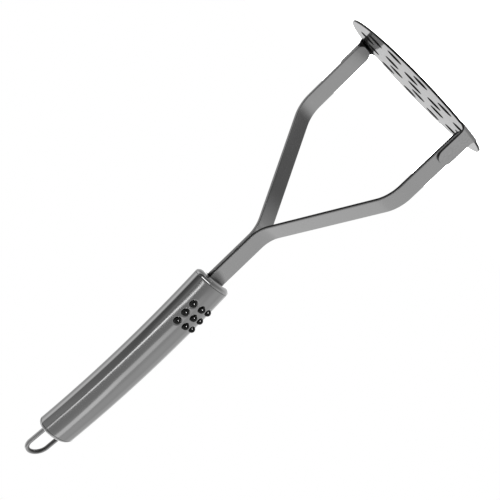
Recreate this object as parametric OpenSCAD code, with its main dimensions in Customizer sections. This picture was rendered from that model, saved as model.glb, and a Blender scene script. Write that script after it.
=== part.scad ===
// Potato masher: a pierced round plate on two bent strap arms, under a hollow oval handle
// with soft grip nubs and a wire hanging loop.
// Frame: the origin is the centre of the plate's underside, +Z runs up the handle, the arms
// spread along X and the straps are wide along Y. Lengths are in millimetres.

/* [Plate] */
// Diameter of the round plate
plate_d = 85; // [70:1:110]
// Thickness of the plate and of its two ears
plate_t = 1; // [0.8:0.1:2]
// Diameter of each hole in the plate
hole_d = 8.8; // [4:0.1:9]
// Number of holes in the inner ring
inner_holes = 6; // [3:1:6]
// Number of holes in the outer ring
outer_holes = 12; // [6:1:14]
// Width of the land between the outer ring of holes and the rim
rim_land = 6.1; // [4:0.1:8]
// Radius of the inner ring of holes, as a share of the outer ring's
inner_ring_share = 0.51; // [0.45:0.01:0.55]

/* [Ears] */
// Width of each ear that is bent up from the plate
ear_w = 9.6; // [6:0.1:14]
// Height of an ear's free end above the plate's underside
ear_h = 18.5; // [10:0.5:30]
// How far an ear's outer face stands outside the round rim
ear_reach = 2.3; // [2:0.1:5]
// Inner radius of the bend at an ear's root
ear_bend_r = 1; // [0.5:0.1:2]
// Radius of the corners at an ear's free end
ear_corner_r = 4; // [1:0.1:4.5]
// Radius of the hollow fillets beside an ear's root
ear_root_r = 3.2; // [1:0.1:5]

/* [Arms] */
// Width of each strap arm
arm_w = 10.5; // [8:0.1:14]
// Thickness of each strap arm
arm_t = 1.6; // [1:0.1:2.5]
// Height of the lower bend's corner
low_bend_z = 45; // [35:1:60]
// Height of the upper bend's corner
high_bend_z = 101; // [90:1:115]
// Radius of the lower bend at mid thickness
low_bend_r = 20; // [6:1:25]
// Radius of the upper bend at mid thickness
high_bend_r = 17; // [6:1:20]
// Gap between the foot of an arm and the plate
foot_gap = 1.1; // [0.3:0.1:4]
// Radius of the corners at the foot of an arm
foot_corner_r = 4; // [1:0.1:4]
// Length of each arm that lies inside the handle
tang_len = 26; // [12:1:32]

/* [Handle] */
// Height of the handle's front face
handle_z = 134; // [125:1:180]
// Length of the handle along its axis
handle_len = 114.9; // [90:0.1:150]
// Thickness of the oval handle, along X
handle_x = 15.5; // [13:0.1:20]
// Width of the oval handle, along Y
handle_y = 23.3; // [20:0.1:30]
// Radius of the oval's two narrow ends
oval_end_r = 5.5; // [4:0.1:6.2]
// Wall of the handle shell
shell_wall = 0.8; // [0.6:0.1:1.5]
// How far the handle's middle bows out towards +X
handle_bow = 2.5; // [1:0.1:5]
// Lean of the handle towards -X, in degrees
handle_lean = 0.7; // [0:0.1:3]
// Distance of the handle's front centre from the arms' mid plane, towards -X
handle_shift = 0.4; // [0:0.1:1]

/* [Caps] */
// Length of a cap that shows beyond the shell
cap_lip = 2.5; // [1.5:0.1:4]
// Height of a cap's rounded rim
cap_edge_h = 2.3; // [0.5:0.1:2.4]
// How far a cap's rounded rim runs in over its face
cap_edge_in = 3.2; // [0.5:0.1:3.8]
// Length of a cap's plug inside the shell
cap_plug = 4; // [2:0.5:8]
// Clearance of the plug inside the shell
plug_gap = 0.1; // [0.05:0.05:0.3]
// Clearance round the arms in the front cap and the tang block
slot_gap = 0.2; // [0.1:0.05:0.5]
// Gap between a cap's plug and the block behind it
stack_gap = 0.2; // [0.1:0.05:0.5]
// Length of the block that holds the arms inside the handle
block_len = 18; // [8:1:22]
// Length of the block that holds the hanging loop
anchor_len = 7; // [4:1:12]
// Clearance of both blocks inside the shell
block_gap = 0.2; // [0.1:0.05:0.4]

/* [Grip nubs] */
// Number of nubs along the handle
nub_rows = 3; // [3:1:3]
// Number of nubs across the handle
nub_columns = 3; // [3:1:3]
// Diameter of a nub's dome
nub_d = 3.8; // [3:0.1:4.8]
// Height of a nub's dome over the shell
nub_rise = 1.6; // [0.6:0.1:1.8]
// Diameter of a nub's stem
nub_stem_d = 2.4; // [1.5:0.1:2.8]
// Clearance of a nub's stem and barb in the shell
nub_gap = 0.15; // [0.05:0.05:0.2]
// Distance of the first row from the handle's front face
nub_start = 14.7; // [12:0.1:30]
// Distance between rows along the handle
nub_pitch_z = 5.65; // [5:0.05:8]
// Distance between columns across the handle
nub_pitch_y = 5.95; // [5:0.05:6.5]
// Turn of the nubs round the handle towards -Y, in degrees
nub_turn = 2.2; // [0:0.1:4]

/* [Hanging loop] */
// Diameter of the loop's wire
wire_d = 2.4; // [1.5:0.1:3]
// Distance between the loop's two legs, centre to centre
loop_w = 11.9; // [9:0.1:13]
// How far the loop stands out of the rear cap
loop_h = 18.5; // [12:0.1:30]
// Clearance of the wire in its bores
wire_gap = 0.05; // [0.05:0.05:0.2]

/* [Hidden] */

$fn = 48;
steel = [0.62, 0.63, 0.64];
polished_steel = [0.74, 0.75, 0.76];
rubber = [0.06, 0.06, 0.06];
filler = [0.35, 0.35, 0.36];
cut = 1; // how far a cutting shape runs past the face that it cuts
arc_steps = 12; // segments in each bend
ring_steps = 64; // points round the oval
edge_steps = 6; // rings in a cap's rounded rim

// Plate and ears
outer_ring_r = plate_d / 2 - rim_land - hole_d / 2;
inner_ring_r = outer_ring_r * inner_ring_share;
ear_out_x = plate_d / 2 + ear_reach;
ear_in_x = ear_out_x - plate_t;
ear_flat_x = ear_in_x - ear_bend_r;
ear_root_x = plate_d / 2 - ear_root_r - ear_reach;

// Arms, as a path at mid thickness in the X-Z plane
foot_x = ear_in_x - arm_t / 2;
foot_z = plate_t + foot_gap;
neck_x = arm_t / 2;
arm_top_z = handle_z + tang_len;
arm_slope = atan2(foot_x - neck_x, high_bend_z - low_bend_z);
low_tangent = low_bend_r * tan(arm_slope / 2);
high_tangent = high_bend_r * tan(arm_slope / 2);

// Handle axis: an arc of this radius, which passes the chord by handle_bow
bow_r = handle_len * handle_len / (8 * handle_bow);
bow_half_angle = handle_len / bow_r * 90 / PI;

// Oval outline: two end arcs and two side arcs that meet them smoothly
end_centre_y = handle_y / 2 - oval_end_r;
side_drop = handle_x / 2 - oval_end_r;
side_centre_x = (end_centre_y * end_centre_y - side_drop * side_drop) / (2 * side_drop);
side_r = side_centre_x + handle_x / 2;
meet_angle = atan2(end_centre_y, side_centre_x);

// Grip nubs, placed by the angle of the side arc that they stand on
nub_step_angle = asin(nub_pitch_y / side_r);
nub_dome_r = (nub_rise * nub_rise + nub_d * nub_d / 4) / (2 * nub_rise);
nub_hole_d = nub_stem_d + 2 * nub_gap;
nub_barb_d = nub_hole_d + 0.6;
nub_barb_len = 1;
nub_barb_z = -shell_wall - nub_gap;

// Inner stack, as distances from the handle's front face
front_joint = cap_lip;
block_from = front_joint + cap_plug + stack_gap;
rear_joint = handle_len - cap_lip;
anchor_to = rear_joint - cap_plug - stack_gap;
anchor_from = anchor_to - anchor_len;

// Hanging loop, measured from the joint between the shell and the rear cap
bore_floor = 1;
leg_top = cap_lip + loop_h - wire_d / 2 - loop_w / 2;
leg_bottom = anchor_from + bore_floor - rear_joint;

// A point on the oval outline, set in by inset, where its outward normal has this angle
function oval_point(angle, inset) =
    let (on_side = abs(cos(angle)) > cos(meet_angle))
    let (centre = on_side ? [-sign(cos(angle)) * side_centre_x, 0]
                          : [0, sign(sin(angle)) * end_centre_y])
    let (radius = (on_side ? side_r : oval_end_r) - inset)
    centre + radius * [cos(angle), sin(angle)];

function oval_outline(inset) =
    [for (i = [0 : ring_steps - 1]) oval_point((i + 0.5) * 360 / ring_steps, inset)];

// Stations of an arm's path, each as [x, z, heading], with the heading measured from +Z
function bend_stations(centre, radius, from, to) =
    [for (i = [0 : arc_steps])
        let (angle = from + (to - from) * i / arc_steps)
        [centre[0] + radius * cos(angle), centre[1] + radius * sin(angle), angle]];

function arm_stations() = concat(
    [[foot_x, foot_z, 0]],
    bend_stations([foot_x - low_bend_r, low_bend_z - low_tangent], low_bend_r, 0, arm_slope),
    bend_stations([neck_x + high_bend_r, high_bend_z + high_tangent], -high_bend_r, arm_slope, 0),
    [[neck_x, arm_top_z, 0]]
);

function arm_side(offset) =
    [for (s = arm_stations()) [s[0] + offset * cos(s[2]), s[1] + offset * sin(s[2])]];

function reversed(list) = [for (i = [len(list) - 1 : -1 : 0]) list[i]];

function arc_points(centre, radius, from, to) =
    [for (i = [0 : arc_steps])
        let (angle = from + (to - from) * i / arc_steps)
        centre + radius * [cos(angle), sin(angle)]];

// Stands a 2D shape drawn as X-Z upright, wide along Y and centred on it
module upright_xz(width) {
    rotate([90, 0, 0])
        linear_extrude(width, center = true)
            children();
}

// Stands a 2D shape drawn as Y-Z upright, from x = 0 towards +X
module upright_yz(depth) {
    rotate([90, 0, 90])
        linear_extrude(depth)
            children();
}

// Upright tongue in 2D, from the level bottom to the level top, with two round corners on top
module tongue(width, bottom, top, corner_r) {
    translate([-width / 2, bottom])
        square([width, top - bottom - corner_r]);
    translate([corner_r - width / 2, bottom])
        square([width - 2 * corner_r, top - bottom]);
    for (side = [-1, 1])
        translate([side * (width / 2 - corner_r), top - corner_r])
            circle(corner_r);
}

// Section of an ear: the flat root, the bend and the upright tongue
module ear_section() {
    bend_centre = [ear_flat_x, plate_t + ear_bend_r];
    polygon(concat(
        [[ear_root_x, 0]],
        arc_points(bend_centre, ear_bend_r + plate_t, -90, 0),
        [[ear_out_x, ear_h], [ear_in_x, ear_h]],
        arc_points(bend_centre, ear_bend_r, 0, -90),
        [[ear_root_x, plate_t]]
    ));
}

// Face of an ear: the tongue, flared at its foot by two hollow fillets
module ear_face() {
    tongue(ear_w, 0, ear_h, ear_corner_r);
    difference() {
        translate([-ear_w / 2 - ear_root_r, 0])
            square([ear_w + 2 * ear_root_r, ear_root_r]);
        for (side = [-1, 1])
            translate([side * (ear_w / 2 + ear_root_r), ear_root_r + plate_t / 2])
                circle(ear_root_r);
    }
}

module ear() {
    intersection() {
        upright_xz(ear_w + 2 * ear_root_r)
            ear_section();
        upright_yz(ear_out_x + cut)
            ear_face();
    }
}

module plate_hole(radius, angle) {
    rotate([0, 0, angle])
        translate([radius, 0, -cut])
            cylinder(h = plate_t + 2 * cut, d = hole_d);
}

module masher_plate() {
    color(polished_steel) {
        difference() {
            cylinder(h = plate_t, d = plate_d, $fn = 128);
            plate_hole(0, 0);
            for (i = [0 : inner_holes - 1])
                plate_hole(inner_ring_r, i * 360 / inner_holes);
            for (i = [0 : outer_holes - 1])
                plate_hole(outer_ring_r, (i + 0.5) * 360 / outer_holes);
        }
        for (turn = [0, 180])
            rotate([0, 0, turn])
                ear();
    }
}

// The arm on the +X side, with its foot's corners rounded
module arm() {
    color(steel)
        intersection() {
            upright_xz(arm_w)
                polygon(concat(arm_side(arm_t / 2), reversed(arm_side(-arm_t / 2))));
            translate([0, 0, foot_z])
                upright_yz(ear_out_x)
                    mirror([0, 1])
                        tongue(arm_w, foot_z - arm_top_z, 0, foot_corner_r);
        }
}

module arm_right() {
    arm();
}

module arm_left() {
    mirror([1, 0, 0])
        arm();
}

// Moves children from a point on the handle's axis to the handle's place, where X points out
// of the nub side and Z runs along the axis away from the plate
module along_handle(distance) {
    translate([-handle_shift, 0, handle_z])
        rotate([0, -handle_lean, 0])
            translate([-bow_r * cos(bow_half_angle), 0, bow_r * sin(bow_half_angle)])
                rotate([0, bow_half_angle - distance / bow_r * 180 / PI, 0])
                    translate([bow_r, 0, 0])
                        children();
}

module grip_nub_place(row, column) {
    along_handle(nub_start + row * nub_pitch_z)
        translate([-side_centre_x, 0, 0])
            rotate([0, 0, column * nub_step_angle - nub_turn])
                translate([side_r, 0, 0])
                    rotate([0, 90, 0])
                        children();
}

// A bore for each nub, down to this depth under the shell's outer face
module nub_bores(depth, diameter) {
    for (row = [0 : nub_rows - 1], column = [0 : nub_columns - 1])
        grip_nub_place(row, column - (nub_columns - 1) / 2)
            translate([0, 0, -depth])
                cylinder(h = depth + cut, d = diameter);
}

// Oval bar that follows the bowed axis between two distances from the front face
module bowed_bar(from, to, inset) {
    along_handle(from)
        translate([-bow_r, 0, 0])
            rotate([90, 0, 0])
                rotate_extrude(angle = (to - from) / bow_r * 180 / PI, $fn = 360)
                    translate([bow_r, 0])
                        polygon(oval_outline(inset));
}

module handle_shell() {
    color(polished_steel)
        difference() {
            bowed_bar(cap_lip, handle_len - cap_lip, 0);
            bowed_bar(cap_lip - cut, handle_len - cap_lip + cut, shell_wall);
            nub_bores(shell_wall + cut, nub_hole_d);
        }
}

// Lip of a cap, from its joint with the shell at z = 0 to its round-rimmed face below
module lip() {
    solid_from_rings(concat(
        [for (i = [0 : edge_steps])
            let (angle = 90 * i / edge_steps)
            [cap_edge_in * (1 - sin(angle)), cap_edge_h * (1 - cos(angle)) - cap_lip]],
        [[0, 0]]
    ));
}

// Closed solid over a stack of oval rings, each given as [inset, height]
module solid_from_rings(rings) {
    last = len(rings) - 1;
    points = [for (ring = rings, p = oval_outline(ring[0])) [p[0], p[1], ring[1]]];
    sides = [for (k = [0 : last - 1], i = [0 : ring_steps - 1])
        let (a = k * ring_steps + i, b = k * ring_steps + (i + 1) % ring_steps)
        [a, a + ring_steps, b + ring_steps, b]];
    bottom = [for (i = [0 : ring_steps - 1]) i];
    top = [for (i = [0 : ring_steps - 1]) last * ring_steps + ring_steps - 1 - i];
    polyhedron(points, concat([bottom], sides, [top]), convexity = 4);
}

// Space that the two arms take inside the handle, with their clearance
module tang_space() {
    translate([-arm_t - slot_gap, -arm_w / 2 - slot_gap, handle_z - cap_lip - cut])
        cube([2 * (arm_t + slot_gap), arm_w + 2 * slot_gap, tang_len + cap_lip + 2 * cut]);
}

module front_cap() {
    color(polished_steel)
        difference() {
            union() {
                along_handle(front_joint)
                    lip();
                bowed_bar(front_joint - cap_lip / 2, front_joint + cap_plug, shell_wall + plug_gap);
            }
            tang_space();
        }
}

// Block that holds the arms' ends, with a pocket for each nub that reaches it
module tang_block() {
    color(filler)
        difference() {
            bowed_bar(block_from, block_from + block_len, shell_wall + block_gap);
            tang_space();
            nub_bores(nub_barb_len - nub_barb_z + nub_gap, nub_barb_d + 2 * nub_gap);
        }
}

// Both bores of the loop's legs, along the axis at the rear joint
module leg_bores() {
    along_handle(rear_joint)
        for (side = [-1, 1])
            translate([0, side * loop_w / 2, leg_bottom])
                cylinder(h = cap_lip + cut - leg_bottom, d = wire_d + 2 * wire_gap);
}

module rear_cap() {
    color(polished_steel)
        difference() {
            union() {
                along_handle(rear_joint)
                    mirror([0, 0, 1])
                        lip();
                bowed_bar(rear_joint - cap_plug, rear_joint + cap_lip / 2, shell_wall + plug_gap);
            }
            leg_bores();
        }
}

module loop_anchor() {
    color(filler)
        difference() {
            bowed_bar(anchor_from, anchor_to, shell_wall + block_gap);
            leg_bores();
        }
}

module hanging_loop() {
    color(steel)
        along_handle(rear_joint) {
            for (side = [-1, 1])
                translate([0, side * loop_w / 2, leg_bottom])
                    cylinder(h = leg_top - leg_bottom, d = wire_d);
            translate([0, 0, leg_top])
                rotate([90, 0, 90])
                    rotate_extrude(angle = 180)
                        translate([loop_w / 2, 0])
                            circle(d = wire_d);
        }
}

// One nub: a dome on a stem through the shell, with a barb behind the wall
module grip_nub(row, column) {
    dome_centre = nub_rise - nub_dome_r;
    dome_angle = asin(dome_centre / nub_dome_r);
    color(rubber)
        grip_nub_place(row, column)
            rotate_extrude()
                polygon(concat(
                    [[0, nub_barb_z - nub_barb_len], [nub_barb_d / 2, nub_barb_z - nub_barb_len / 2]],
                    [[nub_barb_d / 2, nub_barb_z], [nub_stem_d / 2, nub_barb_z]],
                    [[nub_stem_d / 2, 0], [nub_d / 2, 0]],
                    [for (i = [1 : arc_steps])
                        let (angle = -dome_angle + (90 + dome_angle) * i / arc_steps)
                        [nub_dome_r * cos(angle), dome_centre + nub_dome_r * sin(angle)]]
                ));
}

masher_plate();
arm_left();
arm_right();
handle_shell();
front_cap();
rear_cap();
tang_block();
hanging_loop();
loop_anchor();
for (row = [0 : nub_rows - 1], column = [0 : nub_columns - 1])
    let (name = str("grip_nub_", row * nub_columns + column + 1))
    grip_nub(row, column - (nub_columns - 1) / 2);
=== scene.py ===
"""Looks of the potato masher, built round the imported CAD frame.

The frame's origin is the centre of the plate's underside, +Z runs up the handle, the two arms
spread along X and the straps are wide along Y. Sizes in the classes are in millimetres, and they
become metres only when a mesh is made.
"""

import logging
import math
from dataclasses import dataclass, field
from enum import Enum
from typing import Iterable, Sequence

import bmesh
import bpy
import numpy as np
from mathutils import Matrix, Quaternion, Vector


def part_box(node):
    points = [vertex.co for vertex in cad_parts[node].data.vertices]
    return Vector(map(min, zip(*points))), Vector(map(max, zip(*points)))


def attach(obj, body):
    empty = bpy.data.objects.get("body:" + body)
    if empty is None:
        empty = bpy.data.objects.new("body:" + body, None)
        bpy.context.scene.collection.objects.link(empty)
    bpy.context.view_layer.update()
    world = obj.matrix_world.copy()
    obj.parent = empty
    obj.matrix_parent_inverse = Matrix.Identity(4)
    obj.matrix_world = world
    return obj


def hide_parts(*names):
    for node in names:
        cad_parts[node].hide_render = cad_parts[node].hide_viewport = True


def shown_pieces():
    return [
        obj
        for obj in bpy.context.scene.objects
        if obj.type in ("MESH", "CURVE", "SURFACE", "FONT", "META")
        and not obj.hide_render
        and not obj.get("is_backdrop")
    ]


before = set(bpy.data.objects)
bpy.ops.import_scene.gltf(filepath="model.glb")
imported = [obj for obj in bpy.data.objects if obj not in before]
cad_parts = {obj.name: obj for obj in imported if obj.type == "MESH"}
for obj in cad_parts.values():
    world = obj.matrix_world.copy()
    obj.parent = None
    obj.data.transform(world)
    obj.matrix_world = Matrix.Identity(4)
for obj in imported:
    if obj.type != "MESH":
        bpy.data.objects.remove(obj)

logging.basicConfig(level=logging.INFO, format="%(levelname)s %(message)s")
log = logging.getLogger("masher")

MM = 0.001
ROOT = "root"
GRAIN = "grain"
# Attribute of painted shade: where it is over 0, a steel finish turns to its painted shade grey and
# roughness.
PAINTED_SHADE = "shade"
BUMP_DEPTH = 0.1 * MM
CLOUDS_PER_METRE = 60.0


class Slot(str, Enum):
    """Material slots of the record."""

    POLISHED = "polished_steel"
    SATIN = "satin_steel"
    RUBBER = "black_rubber"
    FILLER = "filler_plastic"


# ---------------------------------------------------------------- numbers and meshes


def box_mm(node: str) -> tuple[np.ndarray, np.ndarray]:
    """Gives a CAD node's lowest and highest corners.

    Args:
        node: Name of the CAD node.

    Returns:
        The two corners, in millimetres.
    """
    low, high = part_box(node)
    return np.array(low) / MM, np.array(high) / MM


def grid_faces(rows: int, columns: int, loop_rows: bool, loop_columns: bool) -> np.ndarray:
    """Lists the quads of a grid whose points are numbered row by row.

    Args:
        rows: Number of rows of points.
        columns: Number of points in a row.
        loop_rows: True if the last row joins the first.
        loop_columns: True if each row is a closed loop.

    Returns:
        Array of quads, each as four point numbers.
    """
    r = np.arange(rows if loop_rows else rows - 1)[:, None]
    c = np.arange(columns if loop_columns else columns - 1)[None, :]
    below, right = (r + 1) % rows, (c + 1) % columns
    quads = np.stack(
        [r * columns + c, r * columns + right, below * columns + right, below * columns + c],
        axis=-1,
    )
    return quads.reshape(-1, 4)


def tube_faces(rings: int, count: int) -> list[list[int]]:
    """Lists the faces of a tube of rings with a flat face at each end.

    Args:
        rings: Number of rings.
        count: Number of points in a ring.

    Returns:
        Point numbers of each face, the two ends last.
    """
    ends = [list(range(count)), list(range((rings - 1) * count, rings * count))]
    return grid_faces(rings, count, False, True).tolist() + ends


def rounded_rectangle(
    x: float, y: float, r: float, in_arc: int, in_sides: tuple[int, int]
) -> np.ndarray:
    """Gives a rounded rectangle's outline, counter-clockwise from the low end of its first corner.

    Each corner is a quarter circle, and each side is a straight run to the next corner.

    Args:
        x: Half the size along X.
        y: Half the size along Y.
        r: Radius of the corners.
        in_arc: Number of points in a corner.
        in_sides: Number of points in a side along X and in one along Y, with the corners' ends.

    Returns:
        Array of X and Y.
    """
    turn = np.linspace(0, math.pi / 2, in_arc)
    centres = ((x - r, y - r), (r - x, y - r), (r - x, r - y), (x - r, r - y))
    arcs = []
    for place, (cx, cy) in enumerate(centres):
        angle = turn + place * math.pi / 2
        arcs.append(np.stack([cx + r * np.cos(angle), cy + r * np.sin(angle)], -1))
    parts = []
    for place, arc in enumerate(arcs):
        share = np.linspace(0, 1, in_sides[place % 2])[1:-1, None]
        parts += [arc, arc[-1] + (arcs[(place + 1) % 4][0] - arc[-1]) * share]
    return np.concatenate(parts)


def smooth_step(low: float, high: float, value: np.ndarray) -> np.ndarray:
    """Rises smoothly from 0 at low to 1 at high.

    Args:
        low: Value where the rise starts.
        high: Value where the rise ends.
        value: Array of values.

    Returns:
        Array of the same shape.
    """
    t = np.clip((value - low) / (high - low), 0, 1)
    return t * t * (3 - 2 * t)


def make_piece(
    name: str,
    points: np.ndarray,
    faces: Iterable[Sequence[int]],
    grain: np.ndarray,
    shade: np.ndarray | None = None,
    outward: bool = True,
) -> bpy.types.Object:
    """Makes a mesh object at the origin from points in millimetres.

    Args:
        name: Name of the object.
        points: Array of points, one row each.
        faces: Point numbers of each face.
        grain: Stretched place of each point, which the finishes read for their fine lines.
        shade: Painted shade at each point, from 0 to 1.
        outward: True if the faces close a body and are to be turned outwards.

    Returns:
        The new object, linked to the scene.
    """
    mesh = bpy.data.meshes.new(name)
    mesh.from_pydata((points * MM).tolist(), [], [list(map(int, f)) for f in faces])
    layer = mesh.attributes.new(GRAIN, "FLOAT_VECTOR", "POINT")
    layer.data.foreach_set("vector", grain.astype(np.float32).ravel())
    if shade is not None:
        mask = mesh.attributes.new(PAINTED_SHADE, "FLOAT", "POINT")
        mask.data.foreach_set("value", shade.astype(np.float32).ravel())
    if outward:
        work = bmesh.new()
        work.from_mesh(mesh)
        bmesh.ops.recalc_face_normals(work, faces=work.faces)
        work.to_mesh(mesh)
        work.free()
    mesh.polygons.foreach_set("use_smooth", np.ones(len(mesh.polygons), bool))
    mesh.update()
    piece = bpy.data.objects.new(name, mesh)
    bpy.context.scene.collection.objects.link(piece)
    return piece


def settle(
    piece: bpy.types.Object, nodes: Sequence[str], material: bpy.types.Material
) -> bpy.types.Object:
    """Gives a finished piece its material and the body it rides on, and hides its CAD nodes.

    Args:
        piece: The piece, in place.
        nodes: CAD nodes that it replaces.
        material: Its finish.

    Returns:
        The same piece.
    """
    piece.data.materials.clear()
    piece.data.materials.append(material)
    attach(piece, ROOT)
    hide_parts(*nodes)
    log.info("%s: %d faces", piece.name, len(piece.data.polygons))
    return piece


# ---------------------------------------------------------------- finishes


@dataclass(frozen=True)
class SteelFinish:
    """Bare steel with fine lines along the piece.

    Attributes:
        name: Name of the material.
        grey: Reflectance, from 0 to 1.
        rough: Roughness between the lines.
        rough_swing: How much the lines and clouds change the roughness.
        lines: Lines per millimetre across the grain.
        relief: Strength of the lines' relief.
        clouds: How much broad clouds change the reflectance.
        streaks: How much the lines change the reflectance.
        painted_shade_grey: Reflectance where the piece's painted shade is 1.
        painted_shade_rough: Roughness where the piece's painted shade is 1.
        glancing: Reflectance at a glancing angle, as a share of bare steel's.
    """

    name: str
    grey: float
    rough: float
    rough_swing: float
    lines: float
    relief: float
    clouds: float
    streaks: float
    painted_shade_grey: float
    painted_shade_rough: float
    glancing: float = 1.0


@dataclass(frozen=True)
class SoftFinish:
    """Rubber or plastic.

    Attributes:
        name: Name of the material.
        colour: Linear red, green and blue.
        rough: Roughness.
        speckle: Size of the fine surface texture, per millimetre.
        relief: Strength of the texture's relief.
    """

    name: str
    colour: tuple[float, float, float]
    rough: float
    speckle: float
    relief: float


# painted_shade_grey and painted_shade_rough give each finish's painted shade.
HANDLE_STEEL = SteelFinish(
    "polished_steel_handle", grey=0.78, rough=0.12, rough_swing=0.05, lines=9.0, relief=0.05,
    clouds=0.05, streaks=0.03, painted_shade_grey=0.12, painted_shade_rough=0.35,
)
CAP_STEEL = SteelFinish(
    "polished_steel_cap", grey=0.90, rough=0.10, rough_swing=0.04, lines=6.0, relief=0.04,
    clouds=0.05, streaks=0.02, painted_shade_grey=0.20, painted_shade_rough=0.25,
)
PLATE_STEEL = SteelFinish(
    "polished_steel_plate", grey=0.93, rough=0.14, rough_swing=0.05, lines=0.9, relief=0.03,
    clouds=0.05, streaks=0.25, painted_shade_grey=0.05, painted_shade_rough=0.35, glancing=0.42,
)
# Painted shade: the plate's rim and the holes' walls are near black steel.
EDGE_PAINTED_SHADE_STEEL = SteelFinish(
    "polished_steel_cut_edge", grey=0.07, rough=0.35, rough_swing=0.05, lines=5.0, relief=0.05,
    clouds=0.02, streaks=0.02, painted_shade_grey=0.07, painted_shade_rough=0.35,
)
# The two strap finishes differ mainly in painted shade: lighter grey on the left strap, near black
# on the right.
LEFT_STRAP_STEEL = SteelFinish(
    "satin_steel_left", grey=0.93, rough=0.22, rough_swing=0.07, lines=8.0, relief=0.10,
    clouds=0.06, streaks=0.05, painted_shade_grey=0.38, painted_shade_rough=0.25,
)
RIGHT_STRAP_STEEL = SteelFinish(
    "satin_steel_right", grey=0.93, rough=0.25, rough_swing=0.07, lines=8.0, relief=0.10,
    clouds=0.06, streaks=0.05, painted_shade_grey=0.05, painted_shade_rough=0.40,
)
WIRE_STEEL = SteelFinish(
    "satin_steel_wire", grey=0.85, rough=0.07, rough_swing=0.03, lines=6.0, relief=0.03,
    clouds=0.05, streaks=0.05, painted_shade_grey=0.25, painted_shade_rough=0.10,
)
NUB_RUBBER = SoftFinish(
    "black_rubber_nub", colour=(0.003, 0.003, 0.003), rough=0.14, speckle=2.5, relief=0.02,
)
FILLER = SoftFinish(
    "filler_plastic_grey", colour=(0.10, 0.10, 0.105), rough=0.5, speckle=1.5, relief=0.05,
)


class NodeTree:
    """Short way to build a material's node tree."""

    def __init__(self, name: str) -> None:
        """Makes an empty material.

        Args:
            name: Name of the material.
        """
        self.material = bpy.data.materials.new(name)
        self.material.use_nodes = True
        self.tree = self.material.node_tree
        self.tree.nodes.clear()

    def add(self, kind: str, **values: object) -> bpy.types.Node:
        """Adds a node and sets its properties.

        Args:
            kind: Blender's name of the node type.
            **values: Properties to set.

        Returns:
            The new node.
        """
        node = self.tree.nodes.new(kind)
        for key, value in values.items():
            setattr(node, key, value)
        return node

    def link(self, source: bpy.types.NodeSocket, target: bpy.types.NodeSocket) -> None:
        """Links two sockets."""
        self.tree.links.new(source, target)

    def feed(self, socket: bpy.types.NodeSocket, value: object) -> None:
        """Gives an input its value.

        Args:
            socket: The input.
            value: Socket to link, or number to set.
        """
        if isinstance(value, bpy.types.NodeSocket):
            self.link(value, socket)
        else:
            socket.default_value = value

    def noise(
        self, vector: bpy.types.NodeSocket, scale: float, detail: float
    ) -> bpy.types.NodeSocket:
        """Adds a noise texture.

        Args:
            vector: Where to read it.
            scale: Its scale.
            detail: Number of its octaves.

        Returns:
            The noise value's socket.
        """
        node = self.add("ShaderNodeTexNoise")
        self.link(vector, node.inputs["Vector"])
        node.inputs["Scale"].default_value = scale
        node.inputs["Detail"].default_value = detail
        return node.outputs["Fac"]

    def math(self, operation: str, *values: object) -> bpy.types.NodeSocket:
        """Adds a math node.

        Args:
            operation: Its operation.
            *values: Sockets or numbers, in the order of its inputs.

        Returns:
            The result's socket.
        """
        node = self.add("ShaderNodeMath", operation=operation)
        for socket, value in zip(node.inputs, values):
            self.feed(socket, value)
        return node.outputs[0]

    def mix(self, share: object, first: object, second: object) -> bpy.types.NodeSocket:
        """Blends from the first value to the second as the share goes from 0 to 1.

        Args:
            share: Socket or number.
            first: Socket or number.
            second: Socket or number.

        Returns:
            The blend's socket.
        """
        node = self.add("ShaderNodeMix", data_type="FLOAT")
        for place, value in zip((0, 2, 3), (share, first, second)):
            self.feed(node.inputs[place], value)
        return node.outputs[0]

    def ease(self, value: bpy.types.NodeSocket, low: float, high: float) -> bpy.types.NodeSocket:
        """Rises smoothly from 0 at low to 1 at high, or falls if low is over high.

        Args:
            value: The value to read.
            low: Value that gives 0.
            high: Value that gives 1.

        Returns:
            The result's socket.
        """
        node = self.add("ShaderNodeMapRange", interpolation_type="SMOOTHSTEP")
        self.link(value, node.inputs["Value"])
        node.inputs["From Min"].default_value = min(low, high)
        node.inputs["From Max"].default_value = max(low, high)
        node.inputs["To Min"].default_value = 0.0 if low < high else 1.0
        node.inputs["To Max"].default_value = 1.0 if low < high else 0.0
        return node.outputs["Result"]

    def bump(self, height: bpy.types.NodeSocket, strength: float) -> bpy.types.NodeSocket:
        """Adds a bump node.

        Args:
            height: The relief's height.
            strength: Strength of the effect.

        Returns:
            The normal's socket.
        """
        node = self.add("ShaderNodeBump")
        node.inputs["Strength"].default_value = strength
        node.inputs["Distance"].default_value = BUMP_DEPTH
        self.link(height, node.inputs["Height"])
        return node.outputs["Normal"]

    def finish(self, shader: bpy.types.Node) -> bpy.types.Material:
        """Links the shader to the output.

        Args:
            shader: The node that gives the surface.

        Returns:
            The finished material.
        """
        output = self.add("ShaderNodeOutputMaterial")
        self.link(shader.outputs[0], output.inputs["Surface"])
        return self.material


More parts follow.
